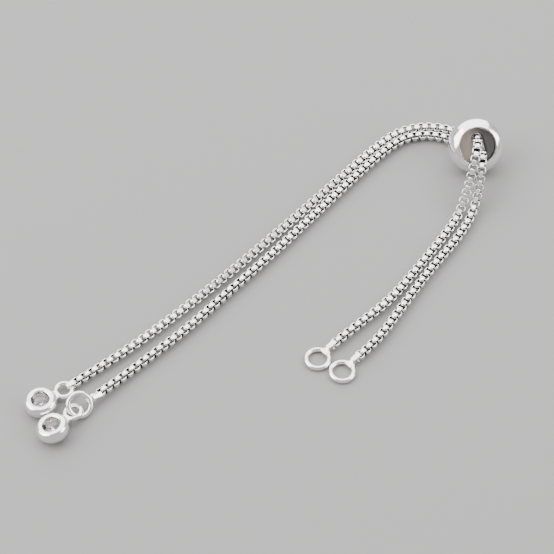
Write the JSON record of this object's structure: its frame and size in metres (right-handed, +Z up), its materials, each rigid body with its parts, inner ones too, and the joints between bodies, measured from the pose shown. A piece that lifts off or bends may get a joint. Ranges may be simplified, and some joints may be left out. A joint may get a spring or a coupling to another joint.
{
  "type": "slider bracelet base",
  "caption": "Slider bracelet base: fine box chains held in a sliding bead, with connector rings on the short ends and stone-set drops on the long ends.",
  "frame": {"origin": "middle of the laid out piece's outline, on the surface it lies on", "axes": "+Z up from the surface; +X to the right across the piece, from the drops to the slider bead; +Y away from the viewer, from the connector rings to the slider bead"},
  "size_m": [0.0724, 0.061, 0.0076],
  "materials": {
    "bright_metal": "polished rhodium-like plating",
    "chain_metal": "polished rhodium-like plating",
    "clear_rubber": "soft translucent grey silicone",
    "clear_stone": "clear cut stone"
  },
  "bodies": {
    "root": {"slider_bead": "bright_metal", "slider_core": "clear_rubber", "chain_a": "chain_metal", "chain_b": "chain_metal", "connector_ring_a": "bright_metal", "connector_ring_b": "bright_metal", "drop_ring_b": "bright_metal", "drop_link_a": "bright_metal", "drop_setting_a": "bright_metal", "drop_setting_b": "bright_metal", "drop_stone_a": "clear_stone", "drop_stone_b": "clear_stone"}
  },
  "joints": []
}
